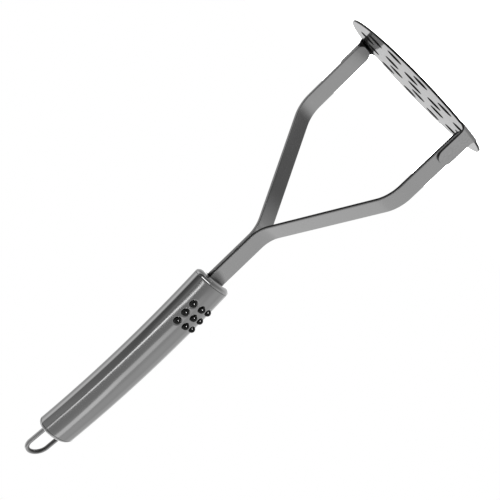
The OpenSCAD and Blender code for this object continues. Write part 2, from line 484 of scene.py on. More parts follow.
def steel_material(finish: SteelFinish) -> bpy.types.Material:
    """Makes a steel material that reads the grain and shade attributes.

    The reflectance is the finish's grey, plus the lines and the clouds about their middle times
    their shares. Where the painted shade is over 0 it blends to the painted shade grey, and so does
    the roughness.

    Args:
        finish: The finish.

    Returns:
        The material.
    """
    nodes = NodeTree(finish.name)
    grain = nodes.add("ShaderNodeAttribute", attribute_name=GRAIN).outputs["Vector"]
    place = nodes.add("ShaderNodeTexCoord").outputs["Object"]
    lines = nodes.noise(grain, finish.lines, 3.0)
    clouds = nodes.noise(place, CLOUDS_PER_METRE, 3.0)
    line_swing, cloud_swing = (nodes.math("SUBTRACT", value, 0.5) for value in (lines, clouds))
    shader = nodes.add("ShaderNodeBsdfPrincipled")
    shader.inputs["Metallic"].default_value = 1.0
    shader.inputs["Specular Tint"].default_value = (*[finish.glancing] * 3, 1.0)
    both = nodes.math("ADD", line_swing, cloud_swing)
    rough = nodes.math("MULTIPLY_ADD", both, finish.rough_swing, finish.rough)
    grey = nodes.math("MULTIPLY_ADD", cloud_swing, finish.clouds, finish.grey)
    streaked = nodes.math("MULTIPLY_ADD", line_swing, finish.streaks, grey)
    # Painted shade, read from each piece's attribute.
    shade = nodes.add("ShaderNodeAttribute", attribute_name=PAINTED_SHADE).outputs["Fac"]
    final_grey = nodes.mix(shade, streaked, finish.painted_shade_grey)
    nodes.link(nodes.mix(shade, rough, finish.painted_shade_rough), shader.inputs["Roughness"])
    colour = nodes.add("ShaderNodeCombineColor")
    for channel in ("Red", "Green", "Blue"):
        nodes.link(final_grey, colour.inputs[channel])
    nodes.link(colour.outputs[0], shader.inputs["Base Color"])
    nodes.link(nodes.bump(lines, finish.relief), shader.inputs["Normal"])
    return nodes.finish(shader)


def soft_material(finish: SoftFinish) -> bpy.types.Material:
    """Makes a rubber or plastic material from object coordinates.

    Args:
        finish: The finish.

    Returns:
        The material.
    """
    nodes = NodeTree(finish.name)
    place = nodes.add("ShaderNodeTexCoord").outputs["Object"]
    speckle = nodes.noise(place, finish.speckle / MM, 2.0)
    shader = nodes.add("ShaderNodeBsdfPrincipled")
    shader.inputs["Base Color"].default_value = (*finish.colour, 1.0)
    shader.inputs["Specular IOR Level"].default_value = 0.35
    rough = nodes.math("MULTIPLY_ADD", speckle, 0.08, finish.rough - 0.04)
    nodes.link(rough, shader.inputs["Roughness"])
    nodes.link(nodes.bump(speckle, finish.relief), shader.inputs["Normal"])
    return nodes.finish(shader)


# ---------------------------------------------------------------- handle geometry


@dataclass(frozen=True)
class Oval:
    """Outline of the handle: two tight end arcs and two flat side arcs that meet smoothly.

    Attributes:
        thick: Size along X.
        wide: Size along Y.
        end_r: Radius of the end arcs.
    """

    thick: float = 15.5
    wide: float = 23.3
    end_r: float = 5.5

    @property
    def end_centre(self) -> float:
        """Distance of an end arc's centre from the middle."""
        return self.wide / 2 - self.end_r

    @property
    def side_centre(self) -> float:
        """Distance of a side arc's centre from the middle."""
        drop = self.thick / 2 - self.end_r
        return (self.end_centre**2 - drop**2) / (2 * drop)

    @property
    def side_r(self) -> float:
        """Radius of the side arcs."""
        return self.side_centre + self.thick / 2

    @property
    def meet(self) -> float:
        """Angle of the outward normal where the arcs meet, in radians."""
        return math.atan2(self.end_centre, self.side_centre)

    def points(self, angle: np.ndarray, inset: np.ndarray | float = 0.0) -> np.ndarray:
        """Gives the outline's points whose outward normals have these angles.

        Each point is the centre of its arc plus the arc's radius, less the inset, along the normal.

        Args:
            angle: Angles of the normals, in radians.
            inset: How far in each point is set.

        Returns:
            Array of X and Y.
        """
        cos, sin = np.cos(angle), np.sin(angle)
        on_side = np.abs(cos) > math.cos(self.meet)
        centre_x = np.where(on_side, -np.sign(cos) * self.side_centre, 0.0)
        centre_y = np.where(on_side, 0.0, np.sign(sin) * self.end_centre)
        radius = np.where(on_side, self.side_r, self.end_r) - inset
        return np.stack([centre_x + radius * cos, centre_y + radius * sin], axis=-1)

    def toward(self, direction: np.ndarray, inset: float) -> np.ndarray:
        """Gives the outline's points that lie in these directions from its middle.

        Args:
            direction: Polar angles, in radians.
            inset: How far in the outline is set.

        Returns:
            Array of X and Y.
        """
        dense = self.points(np.linspace(-math.pi, math.pi, 1441)[:-1], inset)
        polar = np.arctan2(dense[:, 1], dense[:, 0])
        order = np.argsort(polar)
        wanted = np.arctan2(np.sin(direction), np.cos(direction))
        reach = np.hypot(dense[:, 0], dense[:, 1])[order]
        radius = np.interp(wanted, polar[order], reach, period=2 * math.pi)
        return np.stack([radius * np.cos(wanted), radius * np.sin(wanted)], axis=-1)


@dataclass(frozen=True)
class HandleAxis:
    """Bowed axis of the handle.

    Attributes:
        front: Height of the handle's front face.
        length: Length along the axis.
        bow: How far the middle bows out towards +X.
        lean: Lean towards -X, in degrees.
        shift: Distance of the front centre from the arms' mid plane, towards -X.
    """

    front: float = 134.0
    length: float = 114.9
    bow: float = 2.5
    lean: float = 0.7
    shift: float = 0.4

    def place(self, local: np.ndarray, distance: np.ndarray | float) -> np.ndarray:
        """Moves points from the section at a distance along the axis to the handle's place.

        The section's X points to the nub side, and its Z along the axis away from the plate. The
        axis is a circle's arc about a centre on the -X side, and the whole leans about its front.

        Args:
            local: Array of X, Y and Z in the section's own directions.
            distance: Distance of each point's section from the front face.

        Returns:
            Array of points in the frame.
        """
        radius = self.length**2 / (8 * self.bow)
        half = self.length / radius / 2
        turn = half - np.asarray(distance) / radius
        out = local[..., 0] + radius
        x = out * np.cos(turn) + local[..., 2] * np.sin(turn) - radius * math.cos(half)
        z = -out * np.sin(turn) + local[..., 2] * np.cos(turn) + radius * math.sin(half)
        lean = math.radians(self.lean)
        return np.stack(
            [
                x * math.cos(lean) - z * math.sin(lean) - self.shift,
                local[..., 1] + 0 * x,
                x * math.sin(lean) + z * math.cos(lean) + self.front,
            ],
            axis=-1,
        )


@dataclass(frozen=True)
class NubLayout:
    """Where the grip nubs stand on the handle's +X side.

    Attributes:
        start: Distance of the first row from the handle's front face.
        pitch_along: Distance between rows.
        pitch_across: Distance between columns, measured straight across.
        dome_d: Diameter of a dome.
        rise: Height of a dome over the shell.
        turn: Turn of the nubs round the handle towards -Y, in degrees.
    """

    start: float = 14.7
    pitch_along: float = 5.65
    pitch_across: float = 5.95
    dome_d: float = 3.66
    rise: float = 1.6
    turn: float = 2.2

    def spots(self, oval: Oval) -> list[tuple[float, float]]:
        """Gives where each nub stands.

        The step across is the angle whose sine is the pitch over the side arc's radius, and every
        nub is turned by the same angle towards -Y.

        Args:
            oval: The handle's outline.

        Returns:
            Each nub's distance along the handle and the angle of its side arc's normal.
        """
        step = math.asin(self.pitch_across / oval.side_r)
        return [
            (self.start + row * self.pitch_along, column * step - math.radians(self.turn))
            for row in range(3)
            for column in (-1, 0, 1)
        ]


@dataclass
class HandleShell:
    """Thin oval tube swept along the bowed axis, with a shallow dish round each nub.

    The mesh is finer up to fine_angle degrees from +X, and up to fine_margin past the nubs.
    """

    axis: HandleAxis
    oval: Oval
    nubs: NubLayout
    lip: float = 2.5
    wall: float = 0.8
    edge_r: float = 0.3
    dish_depth: float = 0.26
    dish_width: float = 0.75
    fine_angle: float = 32.0
    fine_margin: float = 3.4

    def _angles(self) -> np.ndarray:
        """Gives the angles of the section's normals, close together on the nubs' side.

        Returns:
            Array of angles over one turn, in radians.
        """
        fine = math.radians(self.fine_angle)
        meet = self.oval.meet
        return np.concatenate(
            [
                np.linspace(-fine, fine, 88)[:-1],
                np.linspace(fine, meet, 6)[:-1],
                np.linspace(meet, math.pi - meet, 40)[:-1],
                np.linspace(math.pi - meet, math.pi + meet, 40)[:-1],
                np.linspace(math.pi + meet, 2 * math.pi - meet, 40)[:-1],
                np.linspace(-meet, -fine, 6)[:-1] + 2 * math.pi,
            ]
        )

    def _dish(self, distance: np.ndarray, angle: np.ndarray) -> np.ndarray:
        """Gives the depth of the dishes at each point.

        It is full under a dome, and falls smoothly to 0 over the dish's width. The reach from a
        dome's middle is the root of the sum of two squares, of the distance along and of the arc
        length across.

        Args:
            distance: Distance of each point along the handle.
            angle: Angle of each point's normal.

        Returns:
            Array of depths.
        """
        turned = np.arctan2(np.sin(angle), np.cos(angle))
        inset = np.zeros(np.broadcast(distance, angle).shape)
        edge = self.nubs.dome_d / 2
        for along, spot in self.nubs.spots(self.oval):
            reach = np.hypot(distance - along, (turned - spot) * self.oval.side_r)
            full = 1 - smooth_step(edge - 0.1, edge + self.dish_width, reach)
            inset = np.maximum(inset, self.dish_depth * full)
        return inset

    def build(self, material: bpy.types.Material) -> bpy.types.Object:
        """Builds the shell as one closed tube with an inner wall.

        Each end's edge is a quarter circle, and the oval is inset by it, by the dishes or by the
        wall.

        Args:
            material: Its finish.

        Returns:
            The piece.
        """
        start, end = self.lip, self.axis.length - self.lip
        first = self.nubs.start - self.fine_margin
        last = self.nubs.start + 2 * self.nubs.pitch_along + self.fine_margin
        turn = np.linspace(0, math.pi / 2, 5)
        soft = self.edge_r * (1 - np.sin(turn))
        ends = self.edge_r * (1 - np.cos(turn))
        outer = np.concatenate(
            [
                start + ends,
                np.linspace(start + 1, first, 6),
                np.linspace(first, last, 92)[1:],
                np.linspace(last, end - 1, 26)[1:],
                (end - ends)[::-1],
            ]
        )
        inset = np.zeros(len(outer))
        inset[: len(soft)], inset[-len(soft) :] = soft, soft[::-1]
        inner = np.linspace(end, start, 12)
        angle = self._angles()
        depth = inset[:, None] + self._dish(outer[:, None], angle[None, :])
        wall = np.full((len(inner), len(angle)), self.wall)
        distance = np.concatenate([outer, inner])[:, None] + 0 * angle[None, :]
        section = self.oval.points(angle[None, :] + 0 * distance, np.concatenate([depth, wall]))
        local = np.concatenate([section, 0 * distance[..., None]], axis=-1)
        points = self.axis.place(local, distance)
        grain = np.concatenate([section, 0.02 * distance[..., None]], axis=-1)
        # Painted shade in the seam groove at each end, and on the inner wall.
        seam = np.concatenate([smooth_step(0.05, 0.6, inset / self.edge_r), np.ones(len(inner))])
        shade = (seam[:, None] + 0 * distance).ravel()
        faces = grid_faces(len(distance), len(angle), True, True)
        grain = grain.reshape(-1, 3)
        piece = make_piece("handle_shell_skin", points.reshape(-1, 3), faces, grain, shade)
        return settle(piece, ["handle_shell"], material)


@dataclass
class EndCap:
    """Cap at one end of the handle: a round-rimmed face, a lip and a plug inside the shell.

    The front cap has a slot for the two straps. Points are rings about the axis. On the face each
    ring is a blend between the slot's outline and the oval's, and on the rim and the plug it is
    parallel to the oval. Each face ring has its share of the way out, and its painted shade on the
    front cap. The slot's edge, the seam at the shell and the plug carry painted shade too.
    """

    axis: HandleAxis
    oval: Oval
    front: bool
    lip: float = 2.5
    rim_high: float = 2.3
    rim_in: float = 3.2
    seam_r: float = 0.3
    seam_high: float = 0.18
    plug: float = 4.0
    plug_inset: float = 0.9
    slot_x: float = 1.8
    slot_y: float = 5.45
    slot_corner: float = 0.5
    slot_edge: float = 0.3
    # Share of the way out and painted shade of each face ring.
    face_rings: tuple[tuple[float, float], ...] = (
        (0.2, 0.9), (0.45, 0.3), (0.7, 0.0), (0.92, 0.0), (1.0, 0.0),
    )

    def build(self, node: str, material: bpy.types.Material) -> bpy.types.Object:
        """Builds the cap.

        The rim is a quarter of an ellipse, and the seam at the shell a smaller one.

        Args:
            node: CAD node that it replaces.
            material: Its finish.

        Returns:
            The piece.
        """
        slot = rounded_rectangle(self.slot_x, self.slot_y, self.slot_corner, 10, (18, 36))
        polar = np.arctan2(slot[:, 1], slot[:, 0])
        face = -self.lip
        turn = np.linspace(0, math.pi / 2, 11)
        seam = np.linspace(0, math.pi / 2, 4)
        rings: list[tuple[np.ndarray, float, float]] = []

        def outline(inset: float, height: float, shade: float = 0.0) -> None:
            """Adds a ring parallel to the oval."""
            rings.append((self.oval.toward(polar, inset), height, shade))

        # A band of full painted shade round the front cap's slot, along the straps' base.
        if self.front:
            away = slot / np.hypot(slot[:, 0], slot[:, 1])[:, None]
            for a in seam:
                ring = slot + away * self.slot_edge * (1 - math.cos(a))
                rings.append((ring, face + self.slot_edge * (1 - math.sin(a)), 1.0))
        rim = self.oval.toward(polar, self.rim_in + 0.02)
        for share, shade in self.face_rings:
            rings.append((slot + (rim - slot) * share, face, shade if self.front else 0.0))
        for a in turn:
            outline(self.rim_in * (1 - math.sin(a)), face + self.rim_high * (1 - math.cos(a)))
        # Painted shade rises into the seam groove and is full on the plug inside the shell.
        for a in seam:
            sunk = -self.seam_high * (1 - math.sin(a))
            outline(self.seam_r * (1 - math.cos(a)), sunk, math.sin(a))
        outline(self.plug_inset, 0.0, 1.0)
        outline(self.plug_inset, self.plug, 1.0)
        if self.front:
            rings.append((slot, self.plug, 1.0))
        side = 1.0 if self.front else -1.0
        distance = self.lip if self.front else self.axis.length - self.lip
        local = np.stack(
            [np.column_stack([ring, np.full(len(ring), side * z)]) for ring, z, _ in rings]
        )
        points = self.axis.place(local, distance).reshape(-1, 3)
        count = len(slot)
        if self.front:
            faces = grid_faces(len(rings), count, True, True)
        else:
            faces = tube_faces(len(rings), count)
        grain = (local * np.array([1.0, 0.05, 1.0])).reshape(-1, 3)
        shades = np.repeat([shade for _, _, shade in rings], count)
        piece = make_piece(f"{node}_skin", points, faces, grain, shades)
        return settle(piece, [node], material)


@dataclass
class GripNub:
    """Rubber dome on a stem through the shell.

    The stem is given as radii and heights over the shell's surface, from its barb up.
    """

    axis: HandleAxis
    oval: Oval
    layout: NubLayout
    seat: float = 0.14
    stem: tuple[tuple[float, float], ...] = (
        (1.5, -1.75), (1.6, -1.4), (1.6, -1.0), (1.2, -0.95), (1.2, -0.2),
    )

    def build(self, number: int, material: bpy.types.Material) -> bpy.types.Object:
        """Builds one nub as a profile turned about its stem.

        The dome is a circle's arc from the rounded edge to the top.

        Args:
            number: Number of the nub, from 1.
            material: Its finish.

        Returns:
            The piece.
        """
        along, angle = self.layout.spots(self.oval)[number - 1]
        half, rise = self.layout.dome_d / 2, self.layout.rise
        dome_r = (rise**2 + half**2) / (2 * rise)
        start = math.asin((dome_r - rise) / dome_r)
        arc = np.linspace(start, math.pi / 2, 14)[:-1]
        dome = np.stack([dome_r * np.cos(arc), rise - dome_r + dome_r * np.sin(arc)], -1)
        edge = ((half - 0.15, -self.seat), (half - 0.02, -self.seat + 0.06))
        profile = np.concatenate([self.stem, edge, dome])
        turn = np.linspace(0, 2 * math.pi, 49)[:-1]
        ring = profile[:, None, :] * np.ones((1, len(turn), 1))
        local = np.stack(
            [ring[..., 1], ring[..., 0] * np.cos(turn), ring[..., 0] * np.sin(turn)], axis=-1
        ).reshape(-1, 3)
        local = np.concatenate([local, [[self.stem[0][1], 0, 0], [rise, 0, 0]]])
        faces = grid_faces(len(profile), len(turn), False, True).tolist()
        low, high = len(local) - 2, len(local) - 1
        last = (len(profile) - 1) * len(turn)
        for i in range(len(turn)):
            following = (i + 1) % len(turn)
            faces += [[low, i, following], [high, last + following, last + i]]
        reach = local[:, 0] + self.oval.side_r
        x = reach * math.cos(angle) - local[:, 1] * math.sin(angle) - self.oval.side_centre
        y = reach * math.sin(angle) + local[:, 1] * math.cos(angle)
        points = self.axis.place(np.stack([x, y, local[:, 2]], -1), along)
        piece = make_piece(f"grip_nub_{number}_skin", points, faces, local)
        return settle(piece, [f"grip_nub_{number}"], material)


@dataclass
class HangingLoop:
    """Round wire bent to a U, with both legs in the rear cap."""

    axis: HandleAxis
    wire_d: float = 2.4
    width: float = 11.9
    height: float = 18.5
    lip: float = 2.5
    buried: float = 10.0

    def build(self, material: bpy.types.Material) -> bpy.types.Object:
        """Builds the loop as a circle carried along the U, which is two legs and a half circle.

        The painted shade is full where the circle faces the inside of the U.

        Args:
            material: Its finish.

        Returns:
            The piece.
        """
        half = self.width / 2
        top = self.lip + self.height - self.wire_d / 2 - half
        turn = np.linspace(0, math.pi, 49)
        legs = np.linspace(-self.buried, top, 8)[:-1]
        y = np.concatenate([0 * legs + half, half * np.cos(turn), 0 * legs - half])
        z = np.concatenate([legs, top + half * np.sin(turn), legs[::-1]])
        way = np.concatenate([0 * legs, turn, 0 * legs + math.pi])
        around = np.linspace(0, 2 * math.pi, 33)[:-1]
        reach = self.wire_d / 2 * np.cos(around)[None, :]
        local = np.stack(
            [
                self.wire_d / 2 * np.sin(around)[None, :] + 0 * y[:, None],
                y[:, None] + reach * np.cos(way)[:, None],
                z[:, None] + reach * np.sin(way)[:, None],
            ],
            axis=-1,
        )
        points = self.axis.place(local, self.axis.length - self.lip).reshape(-1, 3)
        run = np.concatenate([[0], np.cumsum(np.hypot(np.diff(y), np.diff(z)))])
        grain = np.stack(
            [local[..., 0], reach + 0 * y[:, None], 0.03 * run[:, None] + 0 * reach], axis=-1
        )
        faces = tube_faces(len(y), len(around))
        # Painted shade on the inside of the U.
        inner = smooth_step(-0.15, 0.75, -np.cos(around))[None, :] + 0 * y[:, None]
        piece = make_piece("hanging_loop_wire", points, faces, grain.reshape(-1, 3), inner.ravel())
        return settle(piece, ["hanging_loop"], material)


# ---------------------------------------------------------------- arms and plate


@dataclass
class StrapArm:
    """Bent strap from an ear of the plate up into the handle.

    The strap's rounded section is carried along the path, and narrows at the foot's corners. Its
    narrow sides carry painted shade up to near the outer face, and the inner face of the sloping
    run carries a painted dark reflection, as far as painted_reflection_dim says.
    """

    side: int
    width: float
    foot: float
    outer: float
    top: float
    thick: float = 1.6
    neck: float = 0.8
    low_bend: float = 45.0
    high_bend: float = 101.0
    low_bend_r: float = 20.0
    high_bend_r: float = 17.0
    foot_corner_r: float = 4.0
    edge_r: float = 0.32
    # Outward distances where the narrow sides' painted shade starts to fade and is gone.
    painted_shade_from: float = 0.25
    painted_shade_to: float = 0.70
    # Share of painted dark reflection on the sloping run's inner face.
    painted_reflection_dim: float = 0.0
    fade_length: float = 19.0
    # Distances in from the narrow sides where their painted shade starts and is full.
    edge_fade: tuple[float, float] = (0.16, 0.04)

    def _path(self) -> tuple[np.ndarray, np.ndarray, np.ndarray]:
        """Gives the strap's middle line, from the foot to the top.

        It is upright, bends on a circle's arc to the slope, runs straight, and bends back. The
        slope is the angle whose tangent is the way in over the height between the bends. Each arc
        reaches its radius times the tangent of half the slope past its corner, up or down.

        Returns:
            X, Z and heading from +Z of each station.
        """
        foot_x = self.outer - self.thick / 2
        slope = math.atan2(foot_x - self.neck, self.high_bend - self.low_bend)
        low = self.low_bend - self.low_bend_r * math.tan(slope / 2)
        high = self.high_bend + self.high_bend_r * math.tan(slope / 2)
        corner = np.linspace(0, math.pi / 2, 12)
        foot_z = self.foot + np.concatenate(
            [[0.0, 0.06, 0.16], 0.3 + (self.foot_corner_r - 0.3) * (1 - np.cos(corner))]
        )
        bend = np.linspace(0, slope, 20)
        low_x = foot_x - self.low_bend_r * (1 - np.cos(bend))
        low_z = low + self.low_bend_r * np.sin(bend)
        high_x = self.neck + self.high_bend_r * (1 - np.cos(bend[::-1]))
        high_z = high - self.high_bend_r * np.sin(bend[::-1])
        share = np.linspace(0, 1, 26)[1:-1]
        run_x = low_x[-1] + (high_x[0] - low_x[-1]) * share
        run_z = low_z[-1] + (high_z[0] - low_z[-1]) * share
        x = np.concatenate([np.full(len(foot_z), foot_x), low_x, run_x, high_x, [self.neck]])
        z = np.concatenate([foot_z, low_z, run_z, high_z, [self.top]])
        heading = np.concatenate(
            [np.zeros(len(foot_z)), bend, np.full(len(share), slope), bend[::-1], [0.0]]
        )
        return x, z, heading

    def _painted_shade(self, section: np.ndarray, z: np.ndarray, heading: np.ndarray) -> np.ndarray:
        """Gives how far each point has the finish's second look.

        It is painted shade: 1 on the narrow sides, falling to 0 towards the outer face. On the
        inner face it is the share of painted dark reflection where the strap slopes, and it fades
        out on the way up to the upper bend.

        Args:
            section: The section's points, as across and outward.
            z: Height of each station.
            heading: Heading of each station.

        Returns:
            Array with a row for each station.
        """
        start, full = (self.width / 2 - fade for fade in self.edge_fade)
        edge = smooth_step(start, full, np.abs(section[:, 0]))
        edge *= 1 - smooth_step(self.painted_shade_from, self.painted_shade_to, section[:, 1])
        inner = smooth_step(0.0, 0.5, -section[:, 1])[None, :]
        sloped = smooth_step(0.35, 0.9, heading / heading.max())
        fade = smooth_step(self.high_bend - self.fade_length, self.high_bend - 1, z)
        return np.maximum(edge[None, :], self.painted_reflection_dim * inner * (sloped * (1 - fade))[:, None])

    def build(self, node: str, material: bpy.types.Material) -> bpy.types.Object:
        """Builds the arm.

        Near the foot's end the section narrows by a circle's arc, which rounds the corners.

        Args:
            node: CAD node that it replaces.
            material: Its finish.

        Returns:
            The piece.
        """
        x, z, heading = self._path()
        section = rounded_rectangle(self.width / 2, self.thick / 2, self.edge_r, 6, (12, 8))
        run = np.concatenate([[0], np.cumsum(np.hypot(np.diff(x), np.diff(z)))])
        r = self.foot_corner_r
        short = np.clip(r - run, 0, r)
        narrow = 1 - (r - np.sqrt(r**2 - short**2)) / (self.width / 2)
        e = self.edge_r
        thin = 1 - (e - np.sqrt(e**2 - np.clip(e - run, 0, e) ** 2)) / (self.thick / 2)
        across = section[None, :, 0] * narrow[:, None]
        out = section[None, :, 1] * thin[:, None]
        points = np.stack(
            [
                self.side * (x[:, None] + out * np.cos(heading)[:, None]),
                across,
                z[:, None] + out * np.sin(heading)[:, None],
            ],
            axis=-1,
        ).reshape(-1, 3)
        grain = np.stack(
            [section[None, :, 0] + 0 * out, out + 7.0 * self.side, 0.03 * run[:, None] + 0 * out],
            axis=-1,
        ).reshape(-1, 3)
        # Painted shade on the narrow sides and painted dark reflection on the sloping inner face.
        shade = self._painted_shade(section, z, heading).ravel()
        faces = tube_faces(len(x), len(section))
        piece = make_piece(f"{node}_strap", points, faces, grain, shade)
        return settle(piece, [node], material)


@dataclass
class PiercedPlate:
    """Round plate with rings of holes and two ears bent up from its rim.

    The plate is one sheet at mid thickness. Each hole has a cell whose outline it shares with its
    neighbours, and the sheet runs in straight lines from the hole's circle to that outline.
    """

    radius: float
    ear_outer: float
    ear_top: float
    thick: float = 1.0
    hole_d: float = 8.8
    inner_ring: float = 16.3
    outer_ring: float = 32.0
    ear_w: float = 9.6
    bend_r: float = 1.0
    ear_corner_r: float = 4.0
    ear_root_r: float = 3.2
    step: float = 2.5
    cell_shares: tuple[float, ...] = (0.0, 0.12, 0.35, 0.65, 1.0)
    ear_climb: tuple[float, ...] = (0.6, 1.2, 1.7, 4.0, 8.0)
    edge_r: float = 0.2
    points: list[np.ndarray] = field(default_factory=list)
    faces: list[np.ndarray] = field(default_factory=list)

    def _add(self, grid: np.ndarray, closed: bool) -> None:
        """Adds a grid of points, row by row.

        Args:
            grid: Array of rows of points.
            closed: True if each row is a closed loop.
        """
        start = sum(len(p) for p in self.points)
        self.points.append(grid.reshape(-1, 3))
        self.faces.append(grid_faces(grid.shape[0], grid.shape[1], False, closed)[:, ::-1] + start)

    def _add_flat(self, flat: np.ndarray) -> None:
        """Adds closed rows of X and Y at mid thickness."""
        height = np.full((*flat.shape[:2], 1), self.thick / 2)
        self._add(np.concatenate([flat, height], -1), True)

    def _cell(self, centre: np.ndarray, outline: np.ndarray) -> None:
        """Adds the sheet between a hole and the outline of its cell.

        Args:
            centre: The hole's centre.
            outline: X and Y of the cell's outline.
        """
        away = outline - centre
        away /= np.hypot(away[:, 0], away[:, 1])[:, None]
        rim = centre + away * self.hole_d / 2
        share = np.array(self.cell_shares)[:, None, None]
        self._add_flat(rim[None] + (outline - rim)[None] * share)

    @staticmethod
    def _polar(radius: np.ndarray | float, degrees: np.ndarray | float) -> np.ndarray:
        """Turns polar places into X and Y."""
        angle = np.radians(degrees)
        return np.stack([radius * np.cos(angle), radius * np.sin(angle)], -1)

    def _sector(
        self, low: float, high: float, start: float, end: float, inner_step: float
    ) -> np.ndarray:
        """Gives the outline of a sector, counter-clockwise, without repeated corners.

        Args:
            low: Inner radius.
            high: Outer radius.
            start: Azimuth of its first side, in degrees.
            end: Azimuth of its last side, in degrees.
            inner_step: Step between points of the inner arc, in degrees.

        Returns:
            Array of X and Y.
        """
        radii = np.linspace(low, high, 11)
        outer = np.arange(start, end + 1e-6, self.step)
        inner = np.arange(start, end + 1e-6, inner_step)
        return np.concatenate(
            [
                self._polar(radii, start)[:-1],
                self._polar(high, outer)[:-1],
                self._polar(radii[::-1], end)[:-1],
                self._polar(low, inner[::-1])[:-1],
            ]
        )

    def _ears(self) -> None:
        """Adds both ears, from the rim through the bend to the round top.

        The bend is a quarter circle. Up the ear, its half width flares to the root and narrows to
        the top by circles' arcs. The ear on the -X side is the other one turned half round.
        """
        degrees = np.arange(-4, 5) * self.step
        rim = self._polar(self.radius, degrees)
        q = rim[:, 1] / rim[-1, 1]
        mid = self.thick / 2
        bend = self.bend_r + mid
        upright = self.ear_outer - mid
        turn = np.linspace(0, math.pi / 2, 8)
        top = np.linspace(0, math.pi / 2, 10)
        shoulder = self.ear_top - self.ear_corner_r
        climb = mid + bend + np.array(self.ear_climb)
        straight_x = np.full(len(climb) + len(top), upright)
        x = np.concatenate([upright - bend + bend * np.sin(turn), straight_x])
        round_z = shoulder + self.ear_corner_r * np.sin(top)
        z = np.concatenate([mid + bend * (1 - np.cos(turn)), climb, round_z])
        r = self.ear_root_r
        drop = np.clip(r + mid - z, 0, r)
        arc = r - np.sqrt(np.maximum(r**2 - drop**2, 0))
        flare = np.minimum(arc, rim[-1, 1] - self.ear_w / 2)
        half = self.ear_w / 2 + flare
        half[-len(top) :] = self.ear_w / 2 - self.ear_corner_r * (1 - np.cos(top))
        rows = np.stack([x[:, None] + 0 * q, half[:, None] * q, z[:, None] + 0 * q], -1)
        first = np.concatenate([rim, np.full((len(rim), 1), mid)], -1)[None]
        ear = np.concatenate([first, rows])
        self._add(ear, False)
        self._add(ear * np.array([-1, -1, 1]), False)

    def build(self, material: bpy.types.Material, edge_painted_shade: bpy.types.Material) -> bpy.types.Object:
        """Builds the plate with its holes and ears.

        The middle cell reaches to half the inner ring's radius. The two rings of cells meet halfway
        between the rings of holes, and the outer one ends as far beyond its ring of holes. Painted
        shade, a dark patch, is full on the -X ear's root and the rim beside it.

        Args:
            material: Its finish.
            edge_painted_shade: Finish of the rim and of the holes' walls, a near black painted
                shade.

        Returns:
            The piece.
        """
        near = self.inner_ring / 2
        middle = (self.inner_ring + self.outer_ring) / 2
        far = 2 * self.outer_ring - middle
        self._cell(np.zeros(2), self._polar(near, np.arange(0, 360, 2 * self.step)))
        for turn in range(0, 360, 60):
            outline = self._sector(near, middle, turn - 30, turn + 30, 2 * self.step)
            self._cell(self._polar(self.inner_ring, turn), outline)
        for turn in range(0, 360, 30):
            outline = self._sector(middle, far, turn, turn + 30, self.step)
            self._cell(self._polar(self.outer_ring, turn + 15), outline)
        around = np.arange(0, 360, self.step)
        radii = (far, (far + self.radius) / 2, self.radius)
        band = np.stack([self._polar(r, around) for r in radii])
        self._add_flat(band)
        self._ears()
        points = np.concatenate(self.points)
        _, first, same = np.unique(
            np.round(points, 3), axis=0, return_index=True, return_inverse=True
        )
        faces = same.reshape(-1)[np.concatenate(self.faces)]
        merged = points[first]
        along, across = merged[:, 0] + merged[:, 1], merged[:, 0] - merged[:, 1]
        grain = np.stack([across, 0.03 * along, merged[:, 2]], -1)
        # Painted shade: a dark patch on the -X ear's root and the rim beside it.
        root = smooth_step(self.radius - 1.2, self.radius, -merged[:, 0])
        shade = root * (1 - smooth_step(3.2, 4.4, merged[:, 2]))
        piece = make_piece("masher_plate_sheet", merged, faces, grain, shade, outward=False)
        solid = piece.modifiers.new("thickness", "SOLIDIFY")
        solid.thickness, solid.offset, solid.use_even_offset = self.thick * MM, 0.0, True
        solid.material_offset_rim = 1
        bevel = piece.modifiers.new("edges", "BEVEL")
        bevel.width, bevel.segments = self.edge_r * MM, 3
        bevel.limit_method, bevel.angle_limit = "ANGLE", math.radians(50)
        bevel.harden_normals = True
        settle(piece, ["masher_plate"], material)
        # The second slot holds the painted shade of the rim and the holes' walls.
        piece.data.materials.append(edge_painted_shade)
        return piece


# ---------------------------------------------------------------- the whole object


